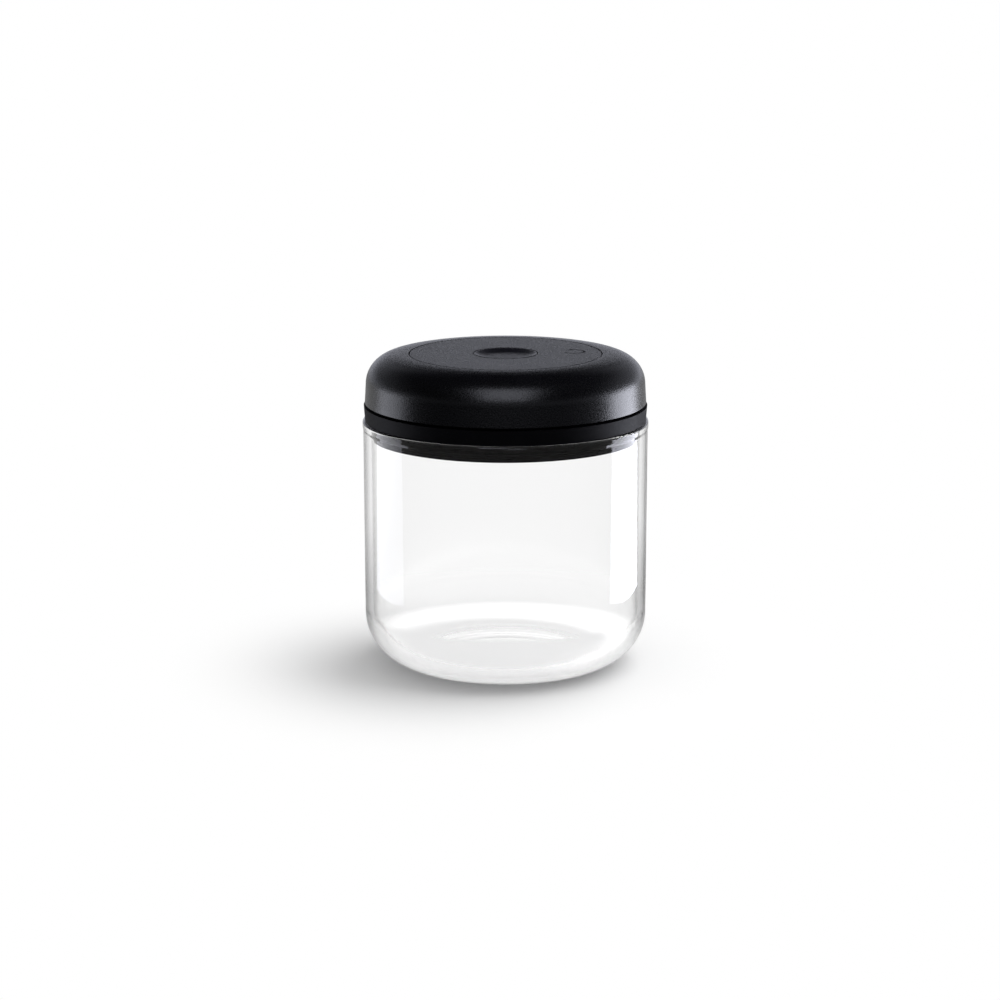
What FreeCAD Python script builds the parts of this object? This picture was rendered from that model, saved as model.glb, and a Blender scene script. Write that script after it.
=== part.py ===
import FreeCAD, Part
import math
import os
import Sketcher

# Vacuum seal canister: a glass jar under a lid that is also a hand pump.
# Twisting the cap back and forth turns a sleeve with three helical slots. Three pins ride in these slots
# and in upright guide slots of the pump cylinder, so the piston rises and falls without turning.
# Pressing the button in the middle opens the poppet and lets the air back in.
# The jar stands on z = 0 and everything is centred on the z axis.

FULL_TURN = 360.0
SHEET_NAME = "Sizes"

DRIVING_SIZES = (
    ("jar_radius", 55.2, "outside radius of the glass wall"),
    ("jar_wall", 3.0, "thickness of the glass wall"),
    ("jar_height", 96.5, "table to glass rim"),
    ("jar_floor", 5.0, "thickness of the glass floor at its rim"),
    ("foot_corner", 19.7, "outside radius between wall and foot"),
    ("floor_corner", 16.5, "inside radius between wall and floor"),
    ("foot_width", 5.0, "width of the flat ring that stands on the table"),
    ("push_up", 1.2, "height of the shallow hollow under the floor"),
    ("rim_bead", 0.25, "how far the fire-polished rim stands proud of the wall"),
    ("rim_bead_height", 2.6, "height of that bead"),
    ("rim_round", 1.1, "rounding of the glass rim"),
    ("ring_inset", 0.27, "glass wall to the upper edge of the ring"),
    ("ring_draft", 0.43, "how much narrower the ring is at its foot"),
    ("ring_wall", 2.4, "thickness of the ring's wall"),
    ("ring_height", 5.7, "height of the ring above the glass rim"),
    ("ring_plate", 2.4, "thickness of the ring's inner plate"),
    ("plate_rise", 2.4, "glass rim to underside of that plate"),
    ("upstand_height", 3.2, "how far the dust lip reaches up inside the cap"),
    ("upstand_wall", 1.4, "thickness of the dust lip"),
    ("screw_land", 4.9, "dust lip to collar, where the base screws sit"),
    ("dust_gap", 0.5, "dust lip to the inside of the cap"),
    ("seam_gap", 1.1, "open seam between ring and cap"),
    ("plug_gap", 0.9, "plug to bore of the jar"),
    ("plug_depth", 6.7, "how deep the plug reaches into the jar"),
    ("plug_wall", 3.0, "thickness of the plug's skirt"),
    ("plug_floor", 2.4, "thickness of the plug's floor"),
    ("gasket_height", 4.8, "height of the gasket"),
    ("gasket_depth", 1.5, "depth of the gasket's groove"),
    ("gasket_foot", 1.1, "underside of the plug to the gasket's groove"),
    ("seal_clearance", 0.05, "a seal's lip to the face it wipes, drawn unsqueezed"),
    ("cylinder_wall", 2.2, "wall of the pump cylinder"),
    ("tube_radius", 7.0, "outside radius of the centre tube"),
    ("tube_bore", 4.0, "radius of the centre tube's bore"),
    ("stroke", 7.0, "travel of the piston"),
    ("twist_angle", 90.0, "turn of the cap for a full stroke, in degrees"),
    ("pump_gap", 0.6, "piston to floor at the bottom of the stroke"),
    ("piston_clearance", 0.2, "piston to cylinder and to tube"),
    ("piston_web", 2.4, "thickness of the piston's web"),
    ("piston_rim", 4.2, "thickness of the piston's rim around the seal"),
    ("piston_skirt", 2.6, "thickness of the piston's skirt"),
    ("hub_wall", 3.6, "wall of the piston's hub"),
    ("outer_cord", 2.6, "thickness of the outer O-ring"),
    ("inner_cord", 2.0, "thickness of the inner O-ring"),
    ("groove_play", 0.4, "extra width of an O-ring groove"),
    ("groove_lip", 0.9, "piston's underside to the outer groove"),
    ("pin_radius", 2.0, "radius of a follower pin"),
    ("pin_play", 0.12, "pin to the sides of its slots"),
    ("pin_boss_wall", 1.6, "wall of a pin boss"),
    ("pin_grip", 5.0, "depth of a pin in its boss"),
    ("skirt_rim", 0.4, "top of a pin boss to the top of the skirt"),
    ("guide_margin", 0.6, "top of the seal's path to the guide slots"),
    ("slot_foot", 1.6, "material under the helical slots"),
    ("sleeve_gap", 0.3, "cam sleeve to the outside of the cylinder"),
    ("sleeve_wall", 3.5, "wall of the cam sleeve"),
    ("snap_reach", 2.9, "how far the snap lip stands out from the sleeve"),
    ("snap_height", 2.4, "height of the snap lip"),
    ("snap_overlap", 0.8, "how far collar lip and snap lip overlap"),
    ("snap_play", 0.4, "play around the snap lip"),
    ("snap_slit", 2.0, "width of the slits that let the snap lip flex"),
    ("collar_wall", 2.0, "wall of the collar"),
    ("collar_lip", 1.6, "height of the collar's lip"),
    ("washer_thickness", 0.8, "thickness of the thrust washer"),
    ("rib_thickness", 1.6, "thickness of a bearing rib"),
    ("head_gap", 1.9, "top of the cylinder to the underside of the cap"),
    ("cap_inset", 0.68, "glass wall to the lower edge of the cap"),
    ("cap_draft", 0.44, "how much narrower the cap is at its shoulder"),
    ("cap_wall", 2.4, "wall of the cap"),
    ("shoulder_radius", 11.1, "radius of the cap's round shoulder"),
    ("shoulder_extra", 1.2, "extra wall in the shoulder's inner corner"),
    ("crown_slope", 9.0, "slope where shoulder and crown meet, in degrees"),
    ("crown_width", 7.47, "round shoulder to the seam around the top disc"),
    ("disc_thickness", 1.6, "thickness of the top disc"),
    ("disc_gap", 0.4, "gap around the top disc"),
    ("disc_round", 0.3, "rounding of the edges along the top seams"),
    ("peg_radius", 1.5, "radius of the top disc's pegs"),
    ("peg_length", 2.0, "length of the top disc's pegs"),
    ("button_radius", 12.4, "radius of the release button"),
    ("button_gap", 0.25, "gap around the release button"),
    ("button_dish", 1.6, "depth of the button's finger dish"),
    ("dish_floor", 6.4, "radius of the flat floor of the dish"),
    ("button_wall", 1.6, "wall of the release button"),
    ("button_round", 0.5, "rounding of the button's edge"),
    ("dish_land", 0.25, "flat land between the button's edge and its dish"),
    ("button_travel", 2.5, "travel of the release button"),
    ("button_flange", 1.6, "reach of the flange that keeps the button in"),
    ("button_skirt", 6.8, "depth of the button below the cap's top"),
    ("button_play", 0.3, "flange to the end of its guide"),
    ("guide_wall", 1.8, "wall of the button's guide"),
    ("stem_radius", 2.0, "radius of the release stem"),
    ("stem_step", 0.5, "how much thinner the stem is inside the poppet"),
    ("stem_flute", 1.2, "thickness of the stem's guide fins"),
    ("fin_margin", 1.6, "fins to the seat when the button is pressed"),
    ("stem_clearance", 0.1, "guide fins to the tube"),
    ("boss_wall", 2.0, "wall of the boss that grips the stem"),
    ("poppet_radius", 4.6, "radius of the poppet"),
    ("poppet_thickness", 2.2, "thickness of the poppet"),
    ("poppet_clearance", 0.9, "poppet to the wall of its chamber"),
    ("poppet_play", 0.1, "poppet to its seat, drawn unsqueezed"),
    ("seat_web", 1.6, "thickness of the seat's web"),
    ("seat_bore", 3.0, "radius of the hole through the seat"),
    ("retainer_radius", 3.4, "radius of the push nut"),
    ("retainer_thickness", 0.6, "thickness of the push nut"),
    ("stem_tail", 0.8, "end of the stem below the push nut"),
    ("spring_wire", 0.8, "wire of the button's spring"),
    ("spring_turns", 5.5, "turns of the button's spring"),
    ("spring_play", 0.1, "spring to the faces at its ends"),
    ("valve_radius", 4.2, "radius of an umbrella valve"),
    ("valve_head", 1.1, "height of an umbrella valve's head"),
    ("valve_edge", 0.5, "thickness of its edge"),
    ("valve_stem", 1.1, "radius of its stem"),
    ("valve_bulb", 1.6, "radius of the bulb that holds it"),
    ("valve_bulb_length", 1.6, "length of that bulb"),
    ("bulb_gap", 0.6, "end of the bulb to the piston's underside"),
    ("valve_play", 0.1, "stem to its hole"),
    ("vent_radius", 0.7, "radius of an air hole under a valve"),
    ("vent_circle", 2.8, "radius of the circle of air holes"),
    ("vent_margin", 0.2, "air holes to the wall of the pocket below them"),
    ("valve_pocket_gap", 0.9, "head to the wall of its pocket"),
    ("inlet_web", 1.2, "floor left under the inlet valve"),
    ("outlet_web", 2.0, "web under the outlet valve"),
    ("inlet_inset", 6.1, "edge of the felt disc to the middle of the inlet valve"),
    ("filter_radius", 22.6, "radius of the felt disc"),
    ("filter_thickness", 1.0, "thickness of the felt disc"),
    ("filter_gap", 0.3, "felt to the ring around it"),
    ("filter_ring", 1.6, "wall of the ring that holds the cover"),
    ("cover_wall", 1.3, "wall of the filter cover"),
    ("cover_play", 0.15, "cover to the ring that holds it"),
    ("cover_slot", 2.2, "width of the cover's slots"),
    ("cover_slot_length", 11.0, "length of the cover's slots"),
    ("cover_hub", 8.0, "closed middle of the cover"),
    ("screw_core", 1.0, "radius of a screw's shank"),
    ("screw_head", 2.0, "radius of a screw's head"),
    ("screw_head_height", 1.4, "height of a screw's head"),
    ("screw_hole", 1.3, "radius of a clearance hole for a screw"),
    ("screw_bite", 4.5, "length of a screw in its boss"),
    ("screw_slot", 0.7, "depth of a screw's drive recess"),
    ("screw_boss_wall", 1.5, "wall of a screw boss"),
    ("ear_thickness", 2.2, "thickness of the sleeve's screw ears"),
    ("ear_drop", 3.0, "underside of the cap to the ears"),
    ("overcut", 1.0, "how far a cut runs past the faces that it opens"),
)

PIN_COUNT = 3
RIB_COUNT = 12
BASE_SCREW_COUNT = 6
PEG_COUNT = 4
VENT_COUNT = 6
COVER_SLOT_COUNT = 12
FLUTE_COUNT = 4
LIP_COUNT = 2
BIARCS_PER_TURN = 4
POINTS_PER_BIARC = 8
# Where a gasket lip starts, is widest and ends, as shares of the height it has to itself.
LIP_FOOT = 0.3
LIP_EDGE = 0.65
LIP_BACK = 0.78
LIP_END = 0.9
# The cross recess of a screw, as shares of its head's radius.
DRIVE_REACH = 0.7
DRIVE_HALF_WIDTH = 0.16
DEGREES_PER_RADIAN = 180 / math.pi
BASE_SCREW_START = 15.0
EAR_START = 15.0
FREE_SLIT_START = 22.0
SPAN_SLIT_START = 60.0
INLET_DIRECTION = 90.0
OUTLET_DIRECTION = 240.0

document = FreeCAD.newDocument("VacuumSealCanister")
sheet = document.addObject("Spreadsheet::Sheet", SHEET_NAME)


class Size:
    """A number together with the spreadsheet expression that gives it."""

    def __init__(self, value, text):
        self.value = float(value)
        self.text = text

    @staticmethod
    def of(other):
        if isinstance(other, Size):
            return other
        return Size(other, repr(float(other)))

    def joined(self, other, sign, value):
        return Size(value, f"({self.text} {sign} {other.text})")

    def __add__(self, other):
        other = Size.of(other)
        return self.joined(other, "+", self.value + other.value)

    def __sub__(self, other):
        other = Size.of(other)
        return self.joined(other, "-", self.value - other.value)

    def __mul__(self, other):
        other = Size.of(other)
        return self.joined(other, "*", self.value * other.value)

    def __truediv__(self, other):
        other = Size.of(other)
        return self.joined(other, "/", self.value / other.value)

    __radd__ = __add__
    __rmul__ = __mul__

    def __rsub__(self, other):
        return Size.of(other) - self


ZERO = Size(0.0, "0.0")


def sine(angle):
    return Size(math.sin(math.radians(angle.value)), f"sin({angle.text} * 1 deg)")


def cosine(angle):
    return Size(math.cos(math.radians(angle.value)), f"cos({angle.text} * 1 deg)")


def tangent(angle):
    return Size(math.tan(math.radians(angle.value)), f"tan({angle.text} * 1 deg)")


def root(square):
    return Size(math.sqrt(square.value), f"sqrt({square.text})")


def write_row(name, content, note):
    row = write_row.next_row
    write_row.next_row += 1
    sheet.set(f"A{row}", name)
    sheet.set(f"B{row}", content)
    sheet.set(f"C{row}", note)
    sheet.setAlias(f"B{row}", name)


write_row.next_row = 1
for size_name, size_value, size_note in DRIVING_SIZES:
    write_row(size_name, str(size_value), size_note)
document.recompute()


def size(name):
    """The spreadsheet's value under this alias."""
    return Size(sheet.get(name), f"{SHEET_NAME}.{name}")


def level(name, formula, note):
    """Adds a derived value to the spreadsheet and returns it."""
    write_row(name, "=" + formula.text.replace(SHEET_NAME + ".", ""), note)
    document.recompute()
    return size(name)


# Heights and radii that several pieces share.
rim_z = size("jar_height")
plug_z = level("plug_z", rim_z - size("plug_depth"), "underside of the plug")
floor_z = level("floor_z", plug_z + size("plug_floor"), "floor of the pump")
plate_z = level("plate_z", rim_z + size("plate_rise"), "top of the plug's skirt")
ring_top_z = level("ring_top_z", rim_z + size("ring_height"), "top of the base ring")
cap_z = level("cap_z", ring_top_z + size("seam_gap"), "lower edge of the cap")
piston_z = level("piston_z", floor_z + size("pump_gap"), "underside of the piston")
groove_z = level("groove_z", piston_z + size("groove_lip"), "lower side of the outer groove")
groove_top_z = level("groove_top_z", groove_z + size("outer_cord") + size("groove_play"),
                     "upper side of the outer groove")
guide_z = level("guide_z", groove_top_z + size("stroke") + size("guide_margin"),
                "lower end of the guide slots")
pin_z = level("pin_z", guide_z + size("pin_radius") + 2 * size("pin_play"), "follower pins at rest")
slot_half = level("slot_half", size("pin_radius") + size("pin_play"), "half the width of a slot")
sleeve_z = level("sleeve_z", pin_z - slot_half - size("slot_foot"), "lower end of the cam sleeve")
washer_z = level("washer_z", sleeve_z - size("washer_thickness"), "top of the bearing ribs")
pin_boss_radius = level("pin_boss_radius", size("pin_radius") + size("pin_boss_wall"), "pin boss")
cylinder_z = level("cylinder_z", pin_z + size("stroke") + slot_half + size("groove_play"),
                   "top of the cylinder")
under_z = level("under_z", cylinder_z + size("head_gap"), "underside of the cap's top")
recess_z = level("recess_z", under_z + size("cap_wall"), "floor of the disc's recess")
top_z = level("top_z", recess_z + size("disc_thickness"), "top of the canister")

bore_radius = level("bore_radius", size("jar_radius") - size("jar_wall"), "bore of the jar")
plug_radius = level("plug_radius", bore_radius - size("plug_gap"), "outside of the plug")
skirt_radius = level("skirt_radius", plug_radius - size("plug_wall"), "inside of the plug's skirt")
cap_radius = level("cap_radius", size("jar_radius") - size("cap_inset"), "lower edge of the cap")
shoulder_outer = level("shoulder_outer", cap_radius - size("cap_draft"), "cap where its shoulder starts")
cap_inner = level("cap_inner", shoulder_outer - size("cap_wall"), "inside of the cap")
crown_edge = level("crown_edge", shoulder_outer - size("shoulder_radius") * (1 - sine(size("crown_slope"))),
                   "where shoulder and crown meet")
disc_radius = level("disc_radius", crown_edge - size("crown_width"), "seam around the top disc")
upstand_radius = level("upstand_radius", cap_inner - size("dust_gap"), "outside of the dust lip")
upstand_inner = level("upstand_inner", upstand_radius - size("upstand_wall"), "inside of the dust lip")
collar_radius = level("collar_radius", upstand_inner - size("screw_land"), "outside of the collar")
collar_bore = level("collar_bore", collar_radius - size("collar_wall"), "inside of the collar")
snap_radius = level("snap_radius", collar_bore - size("snap_play"), "outside of the snap lip")
collar_lip_radius = level("collar_lip_radius", snap_radius - size("snap_overlap"), "collar's lip")
sleeve_radius = level("sleeve_radius", snap_radius - size("snap_reach"), "outside of the cam sleeve")
sleeve_bore = level("sleeve_bore", sleeve_radius - size("sleeve_wall"), "inside of the cam sleeve")
cylinder_radius = level("cylinder_radius", sleeve_bore - size("sleeve_gap"), "outside of the cylinder")
cylinder_bore = level("cylinder_bore", cylinder_radius - size("cylinder_wall"), "inside of the cylinder")
snap_z = level("snap_z", sleeve_z + size("snap_height"), "top of the snap lip")
collar_lip_z = level("collar_lip_z", snap_z + size("snap_play"), "underside of the collar's lip")
collar_z = level("collar_z", collar_lip_z + size("collar_lip"), "top of the collar")
base_screw_circle = level("base_screw_circle", (collar_radius + upstand_inner) / 2,
                          "circle of the base screws")
seat_z = level("seat_z", floor_z + size("plug_floor") + size("poppet_thickness"),
               "underside of the poppet's seat")
piston_radius = level("piston_radius", cylinder_bore - size("piston_clearance"), "outside of the piston")
piston_bore = level("piston_bore", size("tube_radius") + size("piston_clearance"), "bore of the piston")
hub_radius = level("hub_radius", piston_bore + size("hub_wall"), "outside of the piston's hub")
rim_inner = level("rim_inner", piston_radius - size("piston_rim"), "inside of the piston's rim")
outlet_offset = level("outlet_offset", (hub_radius + rim_inner) / 2, "axis to the outlet valve")
inlet_offset = level("inlet_offset", size("filter_radius") - size("inlet_inset"), "axis to the inlet valve")
inner_groove_z = level("inner_groove_z", piston_z + size("piston_web"), "lower side of the inner groove")
inner_groove_top_z = level("inner_groove_top_z",
                           inner_groove_z + size("inner_cord") + size("groove_play"),
                           "upper side of the inner groove")
hub_z = level("hub_z", inner_groove_top_z + size("piston_web"), "top of the piston's hub")
tube_z = level("tube_z", hub_z + size("stroke"), "top of the centre tube")
outlet_z = level("outlet_z", piston_z + size("valve_bulb_length") + size("outlet_web")
                 + size("bulb_gap"), "seat of the outlet valve")
button_hole = level("button_hole", size("button_radius") + size("button_gap"), "hole for the button")
button_z = level("button_z", top_z - size("button_skirt"), "lower edge of the button")
ear_z = level("ear_z", under_z - size("ear_drop"), "top of the screw ears")
ear_circle = level("ear_circle", sleeve_radius + size("screw_boss_wall") + size("screw_head"),
                   "circle of the cap screws")
ring_foot_z = level("ring_foot_z", plug_z - size("filter_thickness") - size("valve_bulb_length"),
                    "underside of the filter ring")


def bind(feature, path, length):
    feature.setExpression(path, length.text)


def new_body(label):
    body = document.addObject("PartDesign::Body", "Body_" + label)
    body.Label = label
    return body


def origin_feature(body, role):
    for feature in body.Origin.OriginFeatures:
        if feature.Role == role:
            return feature
    raise ValueError(role)


def new_sketch(body, role, offset=None):
    """A sketch on one of the body's origin planes, lifted off it by the offset."""
    sketch = body.newObject("Sketcher::SketchObject", "Sketch")
    sketch.AttachmentSupport = (origin_feature(body, role), [""])
    sketch.MapMode = "FlatFace"
    if offset is not None:
        sketch.AttachmentOffset = FreeCAD.Placement(FreeCAD.Vector(0, 0, offset.value), FreeCAD.Rotation())
        bind(sketch, "AttachmentOffset.Base.z", offset)
    return sketch


def fix_point(sketch, edge, end, across, up):
    """Ties one end of an edge to its distances from the sketch's origin."""
    if across is ZERO:
        sketch.addConstraint(Sketcher.Constraint("PointOnObject", edge, end, -2))
    else:
        index = sketch.addConstraint(Sketcher.Constraint("DistanceX", -1, 1, edge, end, across.value))
        bind(sketch, f"Constraints[{index}]", across)
    if up is ZERO:
        sketch.addConstraint(Sketcher.Constraint("PointOnObject", edge, end, -1))
    else:
        index = sketch.addConstraint(Sketcher.Constraint("DistanceY", -1, 1, edge, end, up.value))
        bind(sketch, f"Constraints[{index}]", up)


def vector(point):
    return FreeCAD.Vector(point[0].value, point[1].value, 0)


class Arc:
    """The way to the next corner is an arc; a positive turn bulges to the right of that way."""

    def __init__(self, radius, turn):
        self.radius = radius
        self.turn = turn


def arc_between(start, end, arc):
    """The short arc of the given radius from start to end."""
    chord = end - start
    half = chord.Length / 2
    sagitta_foot = math.sqrt(max(arc.radius.value ** 2 - half ** 2, 0.0))
    left = FreeCAD.Vector(-chord.y, chord.x, 0).normalize()
    middle = (start + end) * 0.5
    rise = arc.radius.value - sagitta_foot
    through = middle - left * rise * arc.turn
    return Part.Arc(start, through, end)


def rounded(corners):
    """Replaces each corner given with a rounding, between level and upright sides, by an arc."""
    points = []
    count = len(corners)
    plain = [corner[:2] for corner in corners]
    for index, corner in enumerate(corners):
        rounding = corner[2] if len(corner) > 2 else None
        if rounding is None or isinstance(rounding, Arc):
            points.append((corner[0], corner[1], rounding))
            continue
        before = vector(plain[index - 1])
        here = vector(plain[index])
        after = vector(plain[(index + 1) % count])
        way_in = (here - before).normalize()
        way_out = (after - here).normalize()
        start = (corner[0] - rounding * round(way_in.x), corner[1] - rounding * round(way_in.y))
        end = (corner[0] + rounding * round(way_out.x), corner[1] + rounding * round(way_out.y))
        turn = 1 if way_in.cross(way_out).z > 0 else -1
        points.append((start[0], start[1], Arc(rounding, turn)))
        points.append((end[0], end[1], None))
    return points


def draw_outline(sketch, corners):
    """Closed outline through the corners. Each corner is (across, up) or (across, up, rounding or Arc)."""
    points = rounded(corners)
    count = len(points)
    edges = []
    for index in range(count):
        start = vector(points[index])
        end = vector(points[(index + 1) % count])
        arc = points[index][2]
        if arc is None:
            edges.append((sketch.addGeometry(Part.LineSegment(start, end), False), 1, 2))
            continue
        edge = sketch.addGeometry(arc_between(start, end, arc), False)
        first_gap = sketch.getPoint(edge, 1).distanceToPoint(start)
        last_gap = sketch.getPoint(edge, 2).distanceToPoint(start)
        edges.append((edge, 1, 2) if first_gap < last_gap else (edge, 2, 1))
        index_radius = sketch.addConstraint(Sketcher.Constraint("Radius", edge, arc.radius.value))
        bind(sketch, f"Constraints[{index_radius}]", arc.radius)
    for index in range(count):
        here = edges[index]
        following = edges[(index + 1) % count]
        sketch.addConstraint(Sketcher.Constraint("Coincident", here[0], here[2], following[0], following[1]))
        fix_point(sketch, here[0], here[1], points[index][0], points[index][1])


def draw_circle(sketch, across, up, radius):
    centre = FreeCAD.Vector(across.value, up.value, 0)
    edge = sketch.addGeometry(Part.Circle(centre, FreeCAD.Vector(0, 0, 1), radius.value), False)
    index = sketch.addConstraint(Sketcher.Constraint("Radius", edge, radius.value))
    bind(sketch, f"Constraints[{index}]", radius)
    fix_point(sketch, edge, 3, across, up)


def draw_box(sketch, left, right, low, high):
    draw_outline(sketch, [(left, low), (right, low), (right, high), (left, high)])


def turned(body, corners):
    """Revolves a half section, given as radius and height, about the z axis."""
    sketch = new_sketch(body, "XZ_Plane")
    draw_outline(sketch, corners)
    feature = body.newObject("PartDesign::Revolution", "Turned")
    feature.Profile = sketch
    feature.ReferenceAxis = (sketch, ["V_Axis"])
    feature.Angle = FULL_TURN
    return feature


def grooved(body, corners):
    """Cuts a half section, given as radius and height, all around the z axis."""
    sketch = new_sketch(body, "XZ_Plane")
    draw_outline(sketch, corners)
    feature = body.newObject("PartDesign::Groove", "Grooved")
    feature.Profile = sketch
    feature.ReferenceAxis = (sketch, ["V_Axis"])
    feature.Angle = FULL_TURN
    return feature


def raised(body, sketch, height):
    feature = body.newObject("PartDesign::Pad", "Raised")
    feature.Profile = sketch
    bind(feature, "Length", height)
    return feature


def sunk(body, sketch, depth, upward=True):
    """Cuts the sketch into the solid, upward from the sketch or downward."""
    feature = body.newObject("PartDesign::Pocket", "Sunk")
    feature.Profile = sketch
    bind(feature, "Length", depth)
    feature.Reversed = upward
    return feature


def repeated(body, features, count):
    """Repeats features evenly around the z axis."""
    pattern = body.newObject("PartDesign::PolarPattern", "Repeated")
    pattern.Originals = features
    pattern.Axis = (origin_feature(body, "Z_Axis"), [""])
    pattern.Angle = FULL_TURN
    pattern.Occurrences = count
    body.Tip = pattern
    return pattern


def cap_sphere(edge_radius, depth):
    """Radius of the sphere whose cap has this edge and depth."""
    return (edge_radius * edge_radius + depth * depth) / (2 * depth)


def at_angle(radius, degrees):
    """Across and up distances of a point on a circle."""
    angle = Size(degrees, repr(float(degrees)))
    return radius * cosine(angle), radius * sine(angle)


def radial_corners(inner, outer, half_width, degrees):
    """Corners of a strip that runs outward from the axis in the given direction."""
    angle = Size(degrees, repr(float(degrees)))
    across = cosine(angle)
    up = sine(angle)
    return [
        (inner * across + half_width * up, inner * up - half_width * across),
        (outer * across + half_width * up, outer * up - half_width * across),
        (outer * across - half_width * up, outer * up + half_width * across),
        (inner * across - half_width * up, inner * up + half_width * across),
    ]


def make_glass_jar():
    body = new_body("glass_jar")
    foot_radius = size("jar_radius") - size("foot_corner")
    dome_edge = foot_radius - size("foot_width")
    dome_radius = cap_sphere(dome_edge, size("push_up"))
    bead_radius = size("jar_radius") + size("rim_bead")
    bead_z = rim_z - size("rim_bead_height")
    turned(body, [
        (ZERO, size("push_up"), Arc(dome_radius, -1)),
        (dome_edge, ZERO),
        (foot_radius, ZERO, Arc(size("foot_corner"), 1)),
        (size("jar_radius"), size("foot_corner")),
        (size("jar_radius"), bead_z - size("rim_round")),
        (bead_radius, bead_z),
        (bead_radius, rim_z, size("rim_round")),
        (bore_radius, rim_z, size("rim_round")),
        (bore_radius, size("jar_floor"), size("floor_corner")),
        (ZERO, size("jar_floor")),
    ])
    return body


def make_base_ring():
    body = new_body("base_ring")
    plate_top_z = plate_z + size("ring_plate")
    ring_edge = size("jar_radius") - size("ring_inset")
    ring_foot = ring_edge - size("ring_draft")
    wall_inner = ring_foot - size("ring_wall")
    upstand_z = cap_z + size("upstand_height")
    turned(body, [
        (wall_inner, rim_z),
        (ring_foot, rim_z),
        (ring_edge, ring_top_z),
        (upstand_radius, ring_top_z),
        (upstand_radius, upstand_z),
        (upstand_inner, upstand_z),
        (upstand_inner, plate_top_z),
        (collar_radius, plate_top_z),
        (collar_radius, collar_z),
        (collar_lip_radius, collar_z),
        (collar_lip_radius, collar_lip_z),
        (collar_bore, collar_lip_z),
        (collar_bore, plate_z),
        (wall_inner, plate_z),
    ])
    sketch = new_sketch(body, "XY_Plane", plate_z)
    across, up = at_angle(base_screw_circle, BASE_SCREW_START)
    draw_circle(sketch, across, up, size("screw_hole"))
    hole = sunk(body, sketch, size("ring_plate"))
    repeated(body, [hole], BASE_SCREW_COUNT)
    return body


def make_pump_housing():
    body = new_body("pump_housing")
    chamber_radius = size("poppet_radius") + size("poppet_clearance")
    groove_floor = plug_radius - size("gasket_depth")
    gasket_z = plug_z + size("gasket_foot")
    gasket_top_z = gasket_z + size("gasket_height")
    seat_top_z = seat_z + size("seat_web")
    ring_inner = size("filter_radius") + size("filter_gap")
    ring_outer = ring_inner + size("filter_ring")
    turned(body, [
        (chamber_radius, plug_z),
        (ring_inner, plug_z),
        (ring_inner, ring_foot_z),
        (ring_outer, ring_foot_z),
        (ring_outer, plug_z),
        (plug_radius, plug_z, size("disc_round")),
        (plug_radius, plate_z),
        (skirt_radius, plate_z),
        (skirt_radius, floor_z),
        (cylinder_radius, floor_z),
        (cylinder_radius, cylinder_z),
        (cylinder_bore, cylinder_z),
        (cylinder_bore, floor_z),
        (size("tube_radius"), floor_z),
        (size("tube_radius"), tube_z),
        (size("tube_bore"), tube_z),
        (size("tube_bore"), seat_top_z),
        (size("seat_bore"), seat_top_z),
        (size("seat_bore"), seat_z),
        (chamber_radius, seat_z),
    ])
    sketch = new_sketch(body, "XY_Plane", guide_z)
    draw_outline(sketch, radial_corners(cylinder_bore - size("overcut"),
                                        cylinder_radius + size("overcut"), slot_half, 0.0))
    guide = sunk(body, sketch, cylinder_z - guide_z + size("overcut"))
    repeated(body, [guide], PIN_COUNT)

    sketch = new_sketch(body, "XY_Plane", floor_z)
    rib_inner = cylinder_radius - size("cylinder_wall") / 2
    rib_outer = collar_bore - size("snap_play")
    draw_outline(sketch, radial_corners(rib_inner, rib_outer, size("rib_thickness") / 2, 0.0))
    rib = raised(body, sketch, washer_z - floor_z)
    repeated(body, [rib], RIB_COUNT)

    across, up = at_angle(base_screw_circle, BASE_SCREW_START)
    boss_foot_z = plate_z - size("screw_bite") - size("screw_boss_wall")
    sketch = new_sketch(body, "XY_Plane", boss_foot_z)
    draw_circle(sketch, across, up, size("screw_core") + size("screw_boss_wall"))
    boss = raised(body, sketch, plate_z - boss_foot_z)
    sketch = new_sketch(body, "XY_Plane", plate_z - size("screw_bite"))
    draw_circle(sketch, across, up, size("screw_core"))
    hole = sunk(body, sketch, size("screw_bite"))
    repeated(body, [boss, hole], BASE_SCREW_COUNT)
    grooved(body, [
        (groove_floor, gasket_z),
        (plug_radius + size("plug_gap"), gasket_z),
        (plug_radius + size("plug_gap"), gasket_top_z),
        (groove_floor, gasket_top_z),
    ])

    valve_across, valve_up = at_angle(inlet_offset, INLET_DIRECTION)
    sketch = new_sketch(body, "XY_Plane", plug_z + size("inlet_web"))
    draw_circle(sketch, valve_across, valve_up, size("valve_radius") + size("valve_pocket_gap"))
    sunk(body, sketch, size("plug_floor"))
    sketch = new_sketch(body, "XY_Plane", plug_z)
    draw_vents(sketch, valve_across, valve_up)
    sunk(body, sketch, size("inlet_web"))
    return body


def draw_vents(sketch, valve_across, valve_up):
    """The hole for a valve's stem and the ring of air holes that its head covers."""
    draw_circle(sketch, valve_across, valve_up, size("valve_stem") + size("valve_play"))
    for step in range(VENT_COUNT):
        across, up = at_angle(size("vent_circle"), step * FULL_TURN / VENT_COUNT)
        draw_circle(sketch, valve_across + across, valve_up + up, size("vent_radius"))


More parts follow.
